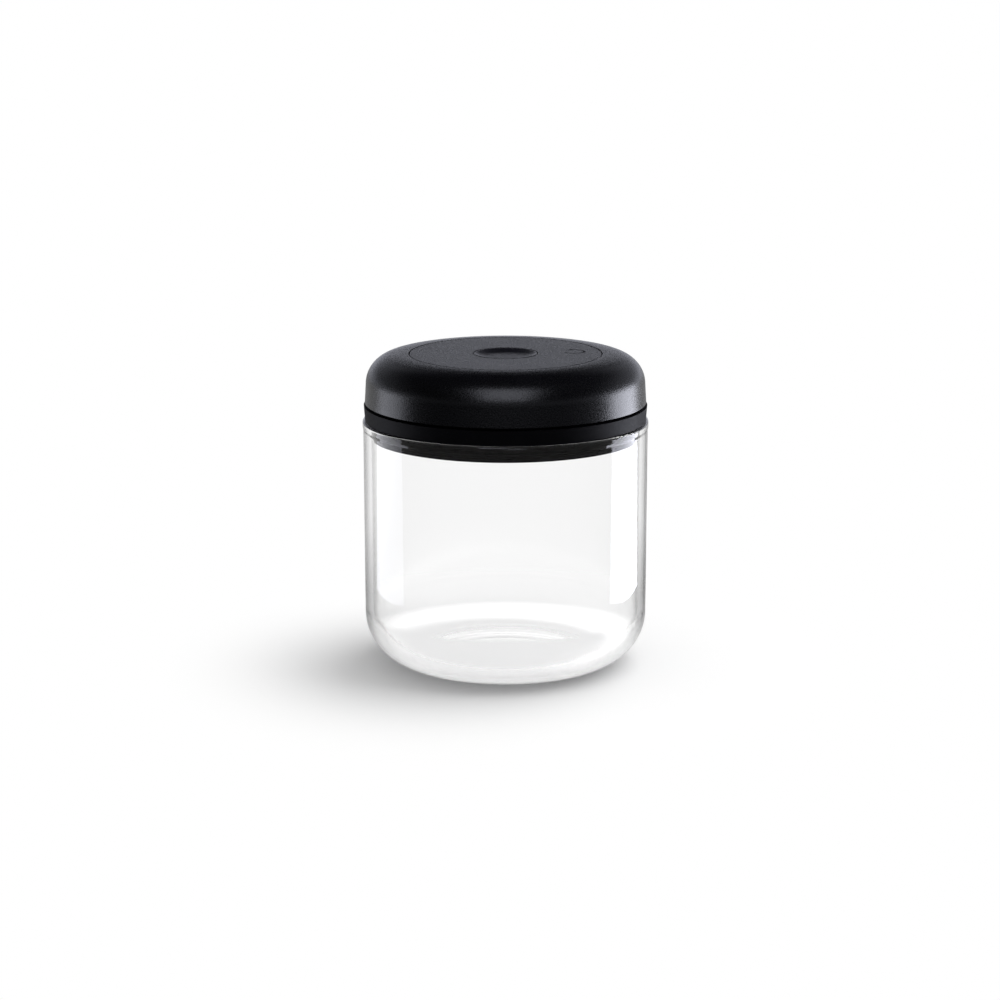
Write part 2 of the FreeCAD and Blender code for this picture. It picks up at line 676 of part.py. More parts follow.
def make_seal_gasket():
    body = new_body("seal_gasket")
    inner = plug_radius - size("gasket_depth") + size("seal_clearance")
    lip_radius = bore_radius - size("seal_clearance")
    low_z = plug_z + size("gasket_foot") + size("seal_clearance")
    high_z = low_z + size("gasket_height") - 2 * size("seal_clearance")
    lip_room = (high_z - low_z) / LIP_COUNT
    corners = [(inner, low_z), (plug_radius, low_z)]
    for lip in range(LIP_COUNT):
        foot_z = low_z + lip * lip_room
        corners.append((plug_radius, foot_z + LIP_FOOT * lip_room))
        corners.append((lip_radius, foot_z + LIP_EDGE * lip_room))
        corners.append((lip_radius, foot_z + LIP_BACK * lip_room))
        corners.append((plug_radius, foot_z + LIP_END * lip_room))
    corners += [(plug_radius, high_z), (inner, high_z)]
    turned(body, corners)
    return body


def make_thrust_washer():
    body = new_body("thrust_washer")
    turned(body, [
        (sleeve_bore, washer_z),
        (snap_radius, washer_z),
        (snap_radius, sleeve_z),
        (sleeve_bore, sleeve_z),
    ])
    return body


def umbrella_valve(label, seat_height, web, offset, direction):
    """A mushroom-shaped rubber valve whose head lies on its seat and whose bulb grips under the web."""
    body = new_body(label)
    stem_foot_z = seat_height - web
    bulb_z = stem_foot_z - size("valve_bulb_length")
    turned(body, [
        (ZERO, bulb_z),
        (size("valve_stem"), bulb_z),
        (size("valve_bulb"), stem_foot_z - size("valve_play")),
        (size("valve_stem"), stem_foot_z - size("valve_play")),
        (size("valve_stem"), seat_height),
        (size("valve_radius"), seat_height),
        (size("valve_radius"), seat_height + size("valve_edge")),
        (size("valve_stem"), seat_height + size("valve_head")),
        (ZERO, seat_height + size("valve_head")),
    ])
    across, up = at_angle(offset, direction)
    bind(body, "Placement.Base.x", across)
    bind(body, "Placement.Base.y", up)
    return body


def make_inlet_valve():
    return umbrella_valve("inlet_valve", plug_z + size("inlet_web"), size("inlet_web"),
                          inlet_offset, INLET_DIRECTION)


def make_outlet_valve():
    return umbrella_valve("outlet_valve", outlet_z, size("outlet_web"),
                          outlet_offset, OUTLET_DIRECTION)


def make_inlet_filter():
    body = new_body("inlet_filter")
    low_z = ring_foot_z
    turned(body, [
        (ZERO, low_z),
        (size("filter_radius"), low_z),
        (size("filter_radius"), low_z + size("filter_thickness")),
        (ZERO, low_z + size("filter_thickness")),
    ])
    return body


def make_filter_cover():
    body = new_body("filter_cover")
    inner = size("filter_radius") + size("filter_gap") + size("filter_ring") + size("cover_play")
    outer = inner + size("cover_wall")
    low_z = ring_foot_z - size("cover_wall")
    turned(body, [
        (ZERO, low_z),
        (outer, low_z, size("disc_round")),
        (outer, plug_z),
        (inner, plug_z),
        (inner, ring_foot_z),
        (ZERO, ring_foot_z),
    ])
    sketch = new_sketch(body, "XY_Plane", low_z)
    draw_outline(sketch, radial_corners(size("cover_hub"), size("cover_hub") + size("cover_slot_length"),
                                        size("cover_slot") / 2, FULL_TURN / COVER_SLOT_COUNT / 2))
    slot = sunk(body, sketch, size("cover_wall"))
    repeated(body, [slot], COVER_SLOT_COUNT)
    return body


def make_twist_cap():
    body = new_body("twist_cap")
    recess_radius = disc_radius + size("disc_gap") / 2
    crown_run = crown_edge - recess_radius
    crown_radius = crown_run / sine(size("crown_slope"))
    end_z = top_z - crown_run * tangent(size("crown_slope") / 2)
    centre_z = end_z - size("shoulder_radius") * cosine(size("crown_slope"))
    inner_round = size("shoulder_radius") - size("cap_wall") - size("shoulder_extra")
    guide_radius = button_hole + size("guide_wall")
    guide_foot_z = button_z + size("button_wall") + size("button_play")
    turned(body, [
        (button_hole, guide_foot_z),
        (guide_radius, guide_foot_z),
        (guide_radius, under_z),
        (cap_inner, under_z, inner_round),
        (cap_inner, cap_z),
        (cap_radius, cap_z),
        (shoulder_outer, centre_z, Arc(size("shoulder_radius"), 1)),
        (crown_edge, end_z, Arc(crown_radius, 1)),
        (recess_radius, top_z),
        (recess_radius, recess_z),
        (button_hole, recess_z),
    ])
    across, up = at_angle(ear_circle, EAR_START)
    sketch = new_sketch(body, "XY_Plane", ear_z)
    draw_circle(sketch, across, up, size("screw_core") + size("screw_boss_wall"))
    boss = raised(body, sketch, size("ear_drop") + size("cap_wall") / 2)
    sketch = new_sketch(body, "XY_Plane", ear_z)
    draw_circle(sketch, across, up, size("screw_core"))
    hole = sunk(body, sketch, size("ear_drop") + size("cap_wall") / 2)
    repeated(body, [boss, hole], PIN_COUNT)

    sketch = new_sketch(body, "XY_Plane", under_z)
    draw_circle(sketch, peg_circle(), ZERO, size("peg_radius"))
    peg_hole = sunk(body, sketch, size("cap_wall"))
    repeated(body, [peg_hole], PEG_COUNT)
    return body


def peg_circle():
    return (disc_radius + button_hole) / 2


def make_top_disc():
    body = new_body("top_disc")
    turned(body, [
        (button_hole, recess_z),
        (disc_radius - size("disc_gap") / 2, recess_z),
        (disc_radius - size("disc_gap") / 2, top_z, size("disc_round")),
        (button_hole, top_z, size("disc_round")),
    ])
    sketch = new_sketch(body, "XY_Plane", recess_z - size("peg_length"))
    draw_circle(sketch, peg_circle(), ZERO, size("peg_radius"))
    peg = raised(body, sketch, size("peg_length"))
    repeated(body, [peg], PEG_COUNT)
    return body


def make_cam_sleeve():
    body = new_body("cam_sleeve")
    turned(body, [
        (sleeve_bore, sleeve_z),
        (snap_radius, sleeve_z),
        (snap_radius, snap_z),
        (sleeve_radius, snap_z),
        (sleeve_radius, under_z),
        (sleeve_bore, under_z),
    ])
    ear_width = size("screw_head") + size("screw_boss_wall") / 2
    sketch = new_sketch(body, "XY_Plane", ear_z - size("ear_thickness"))
    draw_outline(sketch, radial_corners(sleeve_radius - size("sleeve_wall") / 2, ear_circle + ear_width,
                                        ear_width, EAR_START))
    ear = raised(body, sketch, size("ear_thickness"))
    sketch = new_sketch(body, "XY_Plane", ear_z - size("ear_thickness"))
    across, up = at_angle(ear_circle, EAR_START)
    draw_circle(sketch, across, up, size("screw_hole"))
    hole = sunk(body, sketch, size("ear_thickness"))
    sketch = new_sketch(body, "XY_Plane", sleeve_z)
    slit_outer = snap_radius + size("snap_play")
    for start in (FREE_SLIT_START, SPAN_SLIT_START):
        draw_outline(sketch, radial_corners(sleeve_bore - size("sleeve_gap"), slit_outer,
                                            size("snap_slit") / 2, start))
    slit = sunk(body, sketch, size("snap_height"))
    repeated(body, [ear, hole, slit], PIN_COUNT)

    # Each slot climbs by the stroke over the twist, and runs on past both ends by half its own width.
    overrun = slot_half / sleeve_bore * DEGREES_PER_RADIAN
    climb = size("stroke") / size("twist_angle")
    lead_rise = climb * overrun
    slot_height = root(slot_half * slot_half + lead_rise * lead_rise)
    sketch = new_sketch(body, "XZ_Plane")
    start_z = pin_z - lead_rise
    draw_box(sketch, sleeve_bore - size("sleeve_gap"), sleeve_radius + size("sleeve_gap"),
             start_z - slot_height, start_z + slot_height)
    sketch.AttachmentOffset = FreeCAD.Placement(
        FreeCAD.Vector(), FreeCAD.Rotation(FreeCAD.Vector(0, 1, 0), overrun.value))
    bind(sketch, "AttachmentOffset.Rotation.Angle", overrun)
    slot = body.newObject("PartDesign::SubtractiveHelix", "HelicalSlot")
    slot.Profile = sketch
    slot.ReferenceAxis = (origin_feature(body, "Z_Axis"), [""])
    slot.Mode = "height-turns-growth"
    slot.LeftHanded = True
    bind(slot, "Height", size("stroke") + 2 * lead_rise)
    bind(slot, "Turns", (size("twist_angle") + 2 * overrun) / FULL_TURN)
    repeated(body, [slot], PIN_COUNT)
    return body


def make_piston():
    body = new_body("piston")
    groove_floor = piston_radius - size("outer_cord") + size("seal_clearance")
    skirt_inner = piston_radius - size("piston_skirt")
    inner_groove = size("tube_radius") + size("inner_cord") + size("seal_clearance")
    web_z = piston_z + size("piston_web")
    rim_top_z = groove_top_z + size("groove_lip")
    skirt_z = pin_z + pin_boss_radius + size("skirt_rim")
    turned(body, [
        (piston_bore, piston_z),
        (piston_radius, piston_z),
        (piston_radius, groove_z),
        (groove_floor, groove_z),
        (groove_floor, groove_top_z),
        (piston_radius, groove_top_z),
        (piston_radius, skirt_z),
        (skirt_inner, skirt_z),
        (skirt_inner, rim_top_z),
        (rim_inner, rim_top_z),
        (rim_inner, web_z),
        (hub_radius, web_z),
        (hub_radius, hub_z),
        (piston_bore, hub_z),
        (piston_bore, inner_groove_top_z),
        (inner_groove, inner_groove_top_z),
        (inner_groove, inner_groove_z),
        (piston_bore, inner_groove_z),
    ])
    boss_depth = size("pin_grip") - size("piston_skirt")
    boss_inner = skirt_inner - boss_depth
    sketch = new_sketch(body, "YZ_Plane", boss_inner)
    draw_circle(sketch, ZERO, pin_z, pin_boss_radius)
    boss = raised(body, sketch, boss_depth + size("piston_skirt") / 2)
    sketch = new_sketch(body, "YZ_Plane", boss_inner)
    draw_circle(sketch, ZERO, pin_z, size("pin_radius"))
    hole = sunk(body, sketch, size("pin_grip") + size("piston_clearance"))
    repeated(body, [boss, hole], PIN_COUNT)

    valve_across, valve_up = at_angle(outlet_offset, OUTLET_DIRECTION)
    pocket_z = outlet_z - size("outlet_web")
    sketch = new_sketch(body, "XY_Plane", web_z)
    draw_circle(sketch, valve_across, valve_up, size("valve_radius") + size("valve_pocket_gap"))
    raised(body, sketch, outlet_z - web_z)
    sketch = new_sketch(body, "XY_Plane", piston_z)
    draw_circle(sketch, valve_across, valve_up,
                size("vent_circle") + size("vent_radius") + size("vent_margin"))
    sunk(body, sketch, pocket_z - piston_z)
    sketch = new_sketch(body, "XY_Plane", pocket_z)
    draw_vents(sketch, valve_across, valve_up)
    sunk(body, sketch, size("outlet_web"))
    return body


def o_ring(label, ring_radius, cord, height):
    ring = document.addObject("Part::Torus", "Ring_" + label)
    ring.Label = label
    bind(ring, "Radius1", ring_radius)
    bind(ring, "Radius2", cord / 2 - size("seal_clearance"))
    bind(ring, "Placement.Base.z", height)
    return ring


def make_piston_outer_seal():
    cord = size("outer_cord")
    return o_ring("piston_outer_seal", cylinder_bore - cord / 2, cord,
                  (groove_z + groove_top_z) / 2)


def make_piston_inner_seal():
    cord = size("inner_cord")
    return o_ring("piston_inner_seal", size("tube_radius") + cord / 2, cord,
                  (inner_groove_z + inner_groove_top_z) / 2)


def make_follower_pins():
    """Three separate pins in one group."""
    inner = piston_radius - size("pin_grip")
    outer = sleeve_radius - size("sleeve_gap")
    pins = []
    for step in range(PIN_COUNT):
        direction = step * FULL_TURN / PIN_COUNT
        across, up = at_angle(inner, direction)
        pin = document.addObject("Part::Cylinder", "Pin")
        bind(pin, "Radius", size("pin_radius"))
        bind(pin, "Height", outer - inner)
        outward = FreeCAD.Rotation(FreeCAD.Vector(0, 0, 1), direction)
        lying = FreeCAD.Rotation(FreeCAD.Vector(0, 1, 0), FULL_TURN / 4)
        pin.Placement = FreeCAD.Placement(FreeCAD.Vector(), outward * lying)
        bind(pin, "Placement.Base.x", across)
        bind(pin, "Placement.Base.y", up)
        bind(pin, "Placement.Base.z", pin_z)
        pins.append(pin)
    return grouped("follower_pins", pins)


def grouped(label, members):
    """Several like pieces as one node of separate solids."""
    group = document.addObject("Part::Compound", "Group_" + label)
    group.Label = label
    group.Links = members
    return group


def screw_body(label, head_z, grip, downward):
    """A pan-head screw on the z axis: the head's flat side lies at head_z, the shank runs on through grip."""
    body = new_body(label)
    sign = -1 if downward else 1
    head_top_z = head_z - sign * size("screw_head_height")
    end_z = head_z + sign * grip
    corners = [
        (ZERO, end_z),
        (size("screw_core"), end_z),
        (size("screw_core"), head_z),
        (size("screw_head"), head_z),
        (size("screw_head"), head_top_z),
        (ZERO, head_top_z),
    ]
    turned(body, corners if downward else corners[::-1])
    recess_z_low = head_top_z - size("screw_slot") if downward else head_top_z
    sketch = new_sketch(body, "XY_Plane", recess_z_low)
    arm = size("screw_head") * DRIVE_REACH
    thin = size("screw_head") * DRIVE_HALF_WIDTH
    draw_outline(sketch, [
        (thin, ZERO - arm), (thin, ZERO - thin), (arm, ZERO - thin), (arm, thin), (thin, thin), (thin, arm),
        (ZERO - thin, arm), (ZERO - thin, thin), (ZERO - arm, thin), (ZERO - arm, ZERO - thin),
        (ZERO - thin, ZERO - thin), (ZERO - thin, ZERO - arm),
    ])
    sunk(body, sketch, size("screw_slot"))
    return body


def screw_group(label, head_z, grip, downward, circle, start, count):
    """Copies of one screw on a circle."""
    pattern_screw = screw_body(label + "_pattern", head_z, grip, downward)
    screws = []
    for step in range(count):
        across, up = at_angle(circle, start + step * FULL_TURN / count)
        screw = document.addObject("App::Link", "Screw")
        screw.LinkedObject = pattern_screw
        bind(screw, "Placement.Base.x", across)
        bind(screw, "Placement.Base.y", up)
        screws.append(screw)
    return grouped(label, screws)


def make_base_screws():
    return screw_group("base_screws", plate_z + size("ring_plate"),
                       size("ring_plate") + size("screw_bite") - size("screw_slot"), True,
                       base_screw_circle, BASE_SCREW_START, BASE_SCREW_COUNT)


def make_cap_screws():
    return screw_group("cap_screws", ear_z - size("ear_thickness"),
                       size("ear_thickness") + size("ear_drop"), False,
                       ear_circle, EAR_START, PIN_COUNT)


def make_release_button():
    body = new_body("release_button")
    inner = size("button_radius") - size("button_wall")
    dish_edge = size("button_radius") - size("button_round") - size("dish_land")
    dish_bend = cap_sphere(dish_edge - size("dish_floor"), size("button_dish"))
    dish_z = top_z - size("button_dish")
    roof_z = dish_z - size("button_wall")
    flange_radius = size("button_radius") + size("button_flange")
    boss_radius = size("stem_radius") + size("boss_wall")
    turned(body, [
        (size("stem_radius"), button_z),
        (boss_radius, button_z),
        (boss_radius, roof_z),
        (inner, roof_z),
        (inner, button_z),
        (flange_radius, button_z),
        (flange_radius, button_z + size("button_wall")),
        (size("button_radius"), button_z + size("button_wall")),
        (size("button_radius"), top_z, size("button_round")),
        (dish_edge, top_z, Arc(dish_bend, -1)),
        (size("dish_floor"), dish_z),
        (ZERO, dish_z),
        (ZERO, roof_z),
        (size("stem_radius"), roof_z),
    ])
    return body


def make_release_stem():
    body = new_body("release_stem")
    roof_z = top_z - size("button_dish") - size("button_wall")
    poppet_top_z = seat_z - size("poppet_play")
    tail_z = poppet_top_z - size("poppet_thickness") - size("retainer_thickness") - size("stem_tail")
    tail_radius = size("stem_radius") - size("stem_step")
    turned(body, [
        (ZERO, tail_z),
        (tail_radius, tail_z),
        (tail_radius, poppet_top_z),
        (size("stem_radius"), poppet_top_z),
        (size("stem_radius"), roof_z),
        (ZERO, roof_z),
    ])
    fin_low_z = seat_z + size("seat_web") + size("button_travel") + size("fin_margin")
    fin_outer = size("tube_bore") - size("stem_clearance")
    sketch = new_sketch(body, "XY_Plane", fin_low_z)
    draw_outline(sketch, radial_corners(size("stem_flute") / 2, fin_outer, size("stem_flute") / 2, 0.0))
    fin = raised(body, sketch, tube_z - fin_low_z)
    repeated(body, [fin], FLUTE_COUNT)
    return body


def make_release_seal():
    body = new_body("release_seal")
    high_z = seat_z - size("poppet_play")
    low_z = high_z - size("poppet_thickness")
    bore = size("stem_radius") - size("stem_step")
    turned(body, [
        (bore, low_z),
        (size("poppet_radius"), low_z),
        (size("poppet_radius"), high_z),
        (bore, high_z),
    ])
    return body


def make_seal_retainer():
    body = new_body("seal_retainer")
    high_z = seat_z - size("poppet_play") - size("poppet_thickness")
    low_z = high_z - size("retainer_thickness")
    bore = size("stem_radius") - size("stem_step")
    turned(body, [
        (bore, low_z),
        (size("retainer_radius"), low_z),
        (size("retainer_radius"), high_z),
        (bore, high_z),
    ])
    return body


def helix_point(radius, pitch, turns):
    """A point of a helix that starts on the x axis, and the direction in which the helix runs there."""
    angle = math.tau * turns
    place = FreeCAD.Vector(radius * math.cos(angle), radius * math.sin(angle), pitch * turns)
    ahead = FreeCAD.Vector(-radius * math.sin(angle), radius * math.cos(angle), pitch / math.tau)
    return place, ahead.normalize()


def tangent_arc(start, corner, end):
    """The arc from start to end whose end tangents meet at the corner."""
    middle = (start + end) * 0.5
    half_chord = (end - start).Length / 2
    outward = corner - middle
    half_angle = math.atan2(outward.Length, half_chord)
    return Part.Arc(start, middle + outward.normalize() * half_chord * math.tan(half_angle / 2), end)


def biarc(start, start_way, end, end_way):
    """Two arcs that join smoothly and leave and arrive in the given directions."""
    chord = end - start
    ways = start_way + end_way
    spread = 2 - 2 * start_way.dot(end_way)
    along = chord.dot(ways)
    reach = (math.sqrt(along ** 2 + spread * chord.dot(chord)) - along) / spread
    first_corner = start + start_way * reach
    last_corner = end - end_way * reach
    meeting = (first_corner + last_corner) * 0.5
    return tangent_arc(start, first_corner, meeting), tangent_arc(meeting, last_corner, end)


def least_turn_gap(points, turn_points, wire):
    """Least gap between the wire's neighbouring turns, measured on points along it."""
    half_turn = turn_points // 2
    gaps = [
        point.distanceToPoint(other) - wire
        for index, point in enumerate(points)
        for other in points[index + half_turn:]
    ]
    return min(gaps)


def make_button_spring():
    """Coil from the top of the centre tube to the underside of the button."""
    wire = size("spring_wire").value
    play = size("spring_play").value
    coil_radius = (size("tube_bore").value + size("tube_radius").value) / 2
    low = tube_z.value + play + wire / 2
    high = top_z.value - size("button_dish").value - size("button_wall").value - play - wire / 2
    turns = size("spring_turns").value
    pitch = (high - low) / turns
    steps = math.ceil(turns * BIARCS_PER_TURN)
    stations = [helix_point(coil_radius, pitch, turns * step / steps) for step in range(steps + 1)]
    arcs = []
    for (start, start_way), (end, end_way) in zip(stations, stations[1:]):
        arcs += biarc(start, start_way, end, end_way)
    path = Part.Wire([arc.toShape() for arc in arcs])
    first_place, first_way = stations[0]
    section = Part.Wire([Part.makeCircle(wire / 2, first_place, first_way)])
    spring = document.addObject("Part::Feature", "Spring")
    spring.Label = "button_spring"
    spring.Shape = path.makePipeShell([section], True, False)
    spring.Placement = FreeCAD.Placement(FreeCAD.Vector(0, 0, low), FreeCAD.Rotation())
    points = path.discretize(steps * POINTS_PER_BIARC)
    turn_points = BIARCS_PER_TURN * POINTS_PER_BIARC
    print("least gap between turns of the spring, mm:", round(least_turn_gap(points, turn_points, wire), 2))
    return spring


NODES = [
    make_glass_jar(),
    make_base_ring(),
    make_pump_housing(),
    make_base_screws(),
    make_seal_gasket(),
    make_thrust_washer(),
    make_inlet_valve(),
    make_inlet_filter(),
    make_filter_cover(),
    make_button_spring(),
    make_twist_cap(),
    make_top_disc(),
    make_cam_sleeve(),
    make_cap_screws(),
    make_piston(),
    make_piston_outer_seal(),
    make_piston_inner_seal(),
    make_outlet_valve(),
    make_follower_pins(),
    make_release_button(),
    make_release_stem(),
    make_release_seal(),
    make_seal_retainer(),
]
document.recompute()


def check_document():
    for thing in document.Objects:
        if "Invalid" in thing.State or "Error" in thing.State:
            raise RuntimeError(f"{thing.Label} ({thing.Name}): {thing.State}")
    for node in NODES:
        if node.Shape.isNull() or not node.Shape.isValid():
            raise RuntimeError(f"{node.Label} has no valid shape")


check_document()
os.makedirs("parts", exist_ok=True)
for node in NODES:
    node.Shape.exportStep(f"parts/{node.Label}.step")
    print(f"{node.Label}: {len(node.Shape.Solids)} solids, {node.Shape.Volume:.1f} mm3")
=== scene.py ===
import math

import bpy
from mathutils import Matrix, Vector


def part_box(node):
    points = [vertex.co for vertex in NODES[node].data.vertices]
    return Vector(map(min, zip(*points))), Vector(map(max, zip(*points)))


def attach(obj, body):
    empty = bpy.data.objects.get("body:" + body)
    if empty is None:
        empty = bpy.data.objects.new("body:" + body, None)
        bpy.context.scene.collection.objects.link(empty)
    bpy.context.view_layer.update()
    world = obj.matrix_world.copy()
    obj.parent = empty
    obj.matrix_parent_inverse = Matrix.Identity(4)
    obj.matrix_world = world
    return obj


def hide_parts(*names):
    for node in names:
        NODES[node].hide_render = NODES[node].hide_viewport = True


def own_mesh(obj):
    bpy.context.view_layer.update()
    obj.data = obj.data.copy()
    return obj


# A glass vacuum canister under a black twist lid, on a white studio floor.
# Lengths are metres and angles radians. The camera looks along +Y and down a little.

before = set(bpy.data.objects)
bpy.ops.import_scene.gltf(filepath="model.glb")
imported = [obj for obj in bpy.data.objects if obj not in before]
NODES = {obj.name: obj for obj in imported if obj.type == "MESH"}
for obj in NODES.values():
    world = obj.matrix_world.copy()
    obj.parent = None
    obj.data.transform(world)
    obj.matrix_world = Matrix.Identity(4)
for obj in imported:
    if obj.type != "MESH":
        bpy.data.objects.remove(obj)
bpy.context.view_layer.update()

MM = 0.001
LEVEL_PLANE = (1.0, 1.0, 0.0)
WHITE = (1.0, 1.0, 1.0)
COOL_WHITE = (0.93, 0.95, 1.07)

# Camera, with the pixel of a square picture on which the point it turns about falls.
PICTURE_WIDTH = 1000
SENSOR_WIDTH = 0.036
FOCAL_PIXELS = 2600
CAMERA_DISTANCE = 1.0218
CAMERA_TILT = 0.243
AIM_POINT = Vector((0.0, 0.0, 0.0472))
AIM_PIXEL = (505.5, 541.0)

# Panels that give the lid its highlights: direction from the front towards +X, distance from the axis,
# height of the middle, width, height and watts. The side panels stand on the floor close to the jar, so
# that the glass shows them over most of its height.
PANEL_TARGET = Vector((0.0, 0.0, 0.1))
RIGHT_PANEL = (math.radians(98), 0.16, 0.0635, 0.100, 0.127, 0.264)
LEFT_PANEL = (math.radians(-93.5), 0.16, 0.0585, 0.092, 0.117, 0.068)
FRONT_PANEL = (0.0, 0.67, 0.70, 0.6, 0.75, 3.3)

# The key light gives the soft shadow: where it comes from, how wide it looks and its strength.
KEY_DIRECTION = math.radians(114)
KEY_ELEVATION = math.radians(48)
KEY_WIDTH = math.radians(70)
KEY_STRENGTH = 2.2

# Plain light all round, and what is left of it under the glass.
AMBIENT = 0.47
AMBIENT_UNDER_GLASS = 0.3

# The room that gloss shows, in the parts of a direction along X, Y and Z, each from a start to an end.
# A white wall at the back fades upwards to a dark ceiling and round to a dim front. A wing at either side
# stands higher and is dimmer. The left side is dimmer than the right.
BACKDROP_TOP = (0.085, 0.26)
BACKDROP_ENDS = (-0.35, 0.25)
BACKDROP_LEFT = (-0.7, -0.2)
LEFT_LEVEL = 0.5
WING_START = (0.08, 0.3)
WING_TOP = (0.40, 0.64)
WING_ENDS = (0.0, 0.4)
WING_LEVEL = 0.35
FRONT_OF_ROOM = 0.35
CEILING = 0.003

# Light in the glass: how bright the front of the room is after one bounce, and the counts of bounces.
FRONT_IN_GLASS = 0.4
ONE_BOUNCE = 1.0
HALF_A_BOUNCE = 0.5
GLASS_BOUNCES = 24

# Floor, a hair under the glass: it keeps shadows near the object and is plain white further out. Under the
# jar, where it is looked at through the glass, a painted light lifts its shade. The spans are distances
# from the axis, or along Y for the part behind.
FLOOR_SIZE = 6.0
FLOOR_DROP = 0.1 * MM
FLOOR_ALBEDO = 0.92
FLOOR_ROUGHNESS = 0.9
FLOOR_GLOW = 0.15
FLOOR_FADE = (0.05, 0.14)
FLOOR_BEHIND = (0.0, 0.2)
FLOOR_IN_GLOSS = 0.45
UNDER_JAR_LIGHT_SPAN = (0.085, 0.058)
UNDER_JAR_PAINTED_LIGHT = 0.75

# Noise: most of its values fall in this span, and its detail and roughness where nothing else is said.
NOISE_SPAN = (0.3, 0.7)
NOISE_DETAIL = 2.0
NOISE_ROUGHNESS = 0.5

# Black plastics, faintly blue: darker and lighter tone, roughness and specular level of the cap, the disc
# on it, the button and the ring below, then the mottle and the moulded grain of all four.
BLUE_CAST = 1.5
CAP_TONES = (0.0020, 0.0030)
CAP_ROUGHNESS = 0.28
CAP_SPECULAR = 0.4
DISC_TONES = (0.0034, 0.0048)
DISC_ROUGHNESS = 0.30
DISC_SPECULAR = 0.3
# The button is lighter than the disc: a painted light that brightens its finger dish.
BUTTON_PAINTED_LIGHT_TONES = (0.0060, 0.0085)
BUTTON_ROUGHNESS = 0.30
BUTTON_SPECULAR = 0.3
RING_TONES = (0.0026, 0.0036)
RING_ROUGHNESS = 0.55
RING_SPECULAR = 0.065
MOTTLE_PER_METRE = 60.0
GRAIN_PER_METRE = 1700.0
GRAIN_DETAIL = 3.0
GRAIN_DEPTH = 0.15 * MM
GRAIN_STRENGTH = 0.4
ROUGHNESS_SPREAD = 0.05

# Turning arrow on the top disc: an open ring, its ends as angles about its middle, and its matt finish.
MARK_MIDDLE = Vector((26.5 * MM, 3.5 * MM, 0.0))
MARK_RADIUS = 4.0 * MM
MARK_HALF_WIDTH = 0.45 * MM
MARK_HEAD_HALF_WIDTH = 1.3 * MM
MARK_START = math.radians(-150)
MARK_HEAD_START = math.radians(95)
MARK_END = math.radians(140)
MARK_ROUGHNESS = 0.9
MARK_DEPTH = 0.1 * MM
MARK_STRENGTH = 0.5

# Finger dish of the button: a little more than it reaches outwards and down in the CAD, and the share of
# that depth it has here.
DISH_RADIUS = 11.7 * MM
DISH_REACH = 1.7 * MM
DISH_SHARE = 0.58

# Glass: refraction, strength of its gloss, tone seen straight on, the painted shade along its edges with
# its spans of facing and of height, then its faint haze, the stronger haze of the moulded foot corner, and
# its slight waves.
GLASS_IOR = 1.5
GLASS_GLEAM = 0.5
GLASS_FACE_TONE = 0.99
GLASS_EDGE_PAINTED_SHADE = 0.3
GLASS_EDGE = (0.66, 0.86)
GLASS_EDGE_HEIGHT = (6 * MM, 18 * MM)
HAZE_PER_METRE = 25.0
HAZE_SPAN = (0.55, 0.75)
GLASS_HAZE = 0.02
FOOT_HAZE = 0.1
FOOT_HAZE_REACH = (36 * MM, 42 * MM)
FOOT_HAZE_HEIGHT = (22 * MM, 15 * MM)
WAVE_PER_METRE = 22.0
WAVE_DETAIL = 1.0
WAVE_STRENGTH = 0.05
WAVE_DEPTH = 0.2 * MM

# Silicone: black seals and pale valves, with a dusty bloom and a fine skin.
SEAL_TONES = (0.005, 0.008)
SEAL_ROUGHNESS = 0.7
SEAL_SPECULAR = 0.06
VALVE_TONES = (0.55, 0.67)
VALVE_ROUGHNESS = 0.45
VALVE_SPECULAR = 0.3
BLOOM_PER_METRE = 180.0
BLOOM_DETAIL = 4.0
SKIN_PER_METRE = 1500.0
SKIN_STRENGTH = 0.05
SKIN_DEPTH = 0.05 * MM

# Acetal: two tones, a span of roughness, how deep light enters, and flow marks.
ACETAL_DARK = (0.72, 0.71, 0.66)
ACETAL_LIGHT = (0.82, 0.81, 0.77)
ACETAL_ROUGHNESS = (0.3, 0.42)
ACETAL_DEPTH = 1.0 * MM
ACETAL_SCATTER = 0.1
FLOW_PER_METRE = 90.0
FLOW_DETAIL = 3.0
FLOW_STRENGTH = 0.06
FLOW_BUMP = 0.04 * MM

# Steel: plated for the screws, ground for the pins, the spring and the push nut, with fine lines on both.
PLATED_TONES = (0.48, 0.6)
PLATED_ROUGHNESS = 0.35
GROUND_TONES = (0.55, 0.68)
GROUND_ROUGHNESS = 0.22
LINES_PER_METRE = 1200.0
LINES_DETAIL = 4.0
LINES_STRENGTH = 0.08
LINES_DEPTH = 0.02 * MM

# Felt: two tones, its matt surface and its fibres.
FELT_DARK = (0.5, 0.48, 0.43)
FELT_LIGHT = (0.82, 0.8, 0.74)
FELT_ROUGHNESS = 0.95
FELT_SHEEN = 0.4
FIBRES_PER_METRE = 1400.0
FIBRES_DETAIL = 6.0
FIBRES_ROUGHNESS = 0.7
FIBRES_STRENGTH = 0.6
FIBRES_DEPTH = 0.2 * MM


def new_material(name):
    """An empty node material: its tree and its surface shader."""
    material = bpy.data.materials.new(name)
    material.use_nodes = True
    tree = material.node_tree
    shader = tree.nodes["Principled BSDF"]
    return material, tree, shader


def add_node(tree, kind, **settings):
    node = tree.nodes.new(kind)
    for key, value in settings.items():
        setattr(node, key, value)
    return node


def feed(tree, socket, value):
    """Gives a socket a plain number, or links a node's output to it."""
    if isinstance(value, (int, float)):
        socket.default_value = value
    else:
        tree.links.new(value, socket)


def object_coordinates(tree):
    return add_node(tree, "ShaderNodeTexCoord").outputs["Object"]


def separated(tree, vector):
    """The X, Y and Z of a vector, by those names."""
    node = add_node(tree, "ShaderNodeSeparateXYZ")
    tree.links.new(vector, node.inputs["Vector"])
    return node.outputs


